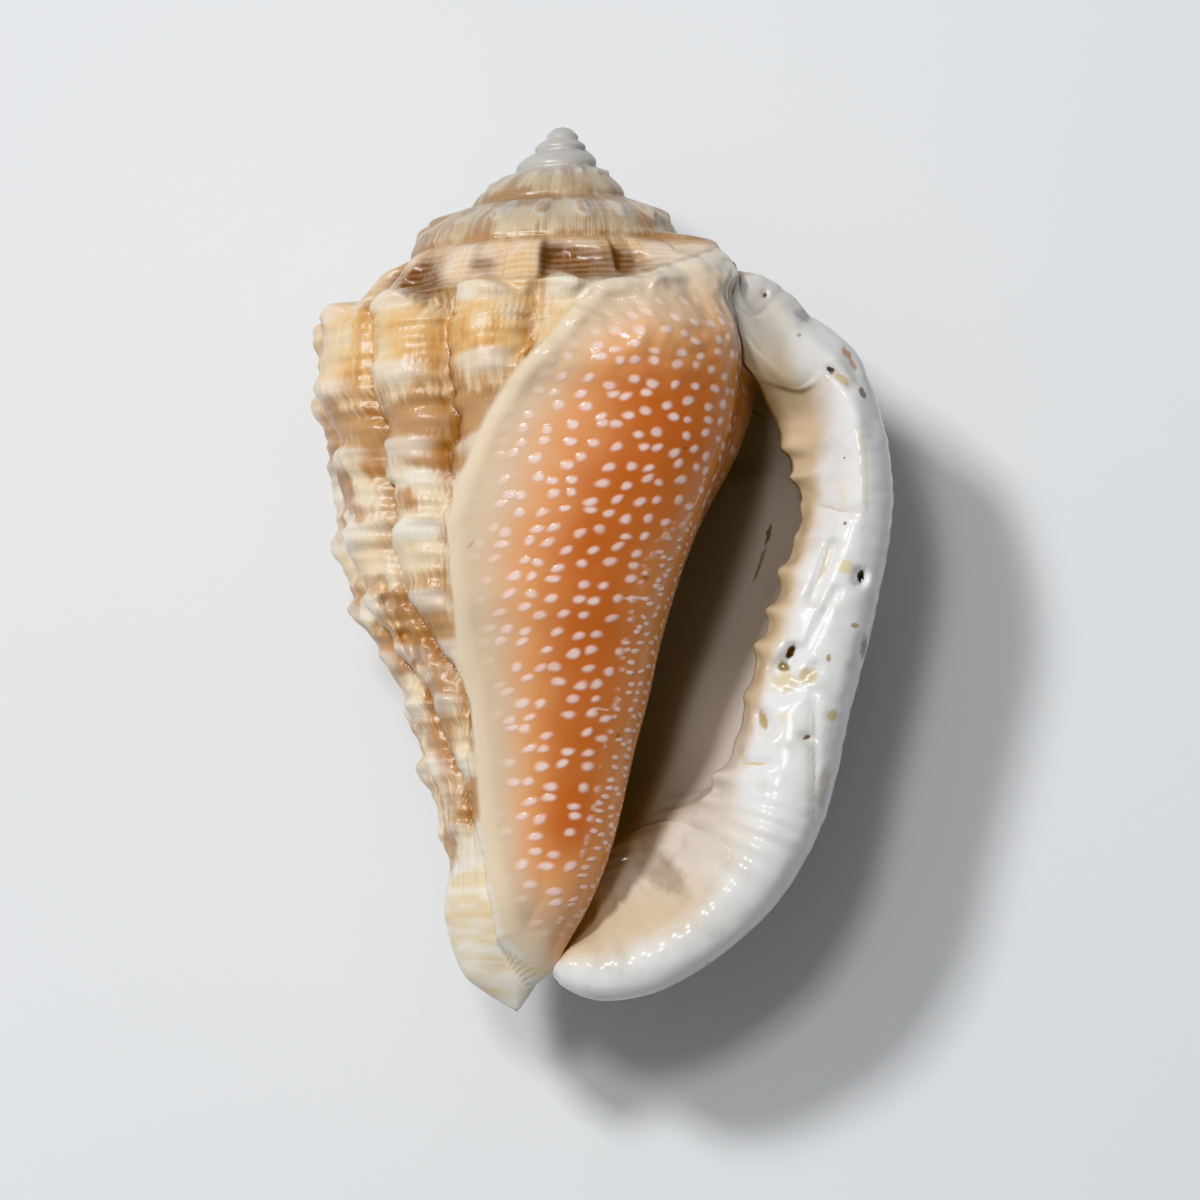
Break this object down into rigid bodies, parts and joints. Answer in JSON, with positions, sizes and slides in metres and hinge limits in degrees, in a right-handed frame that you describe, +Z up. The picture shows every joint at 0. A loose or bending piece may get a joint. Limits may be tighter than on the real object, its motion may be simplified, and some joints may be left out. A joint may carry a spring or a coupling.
{
  "type": "sea shell",
  "caption": "Right-handed Morum dennisoni sea shell with a knobbed spire, a smooth shield beside the mouth and a thick rolled outer lip.",
  "frame": {"origin": "centre of the bounding box in x and y, on the surface that the shell lies on", "axes": "+Y along the coiling axis towards the spire's top point, +Z up, the side with the mouth, +X towards the outer lip"},
  "size_m": [0.0321, 0.0484, 0.024],
  "materials": {
    "shell": "gloss"
  },
  "bodies": {
    "root": {"shell": "shell"}
  },
  "joints": []
}
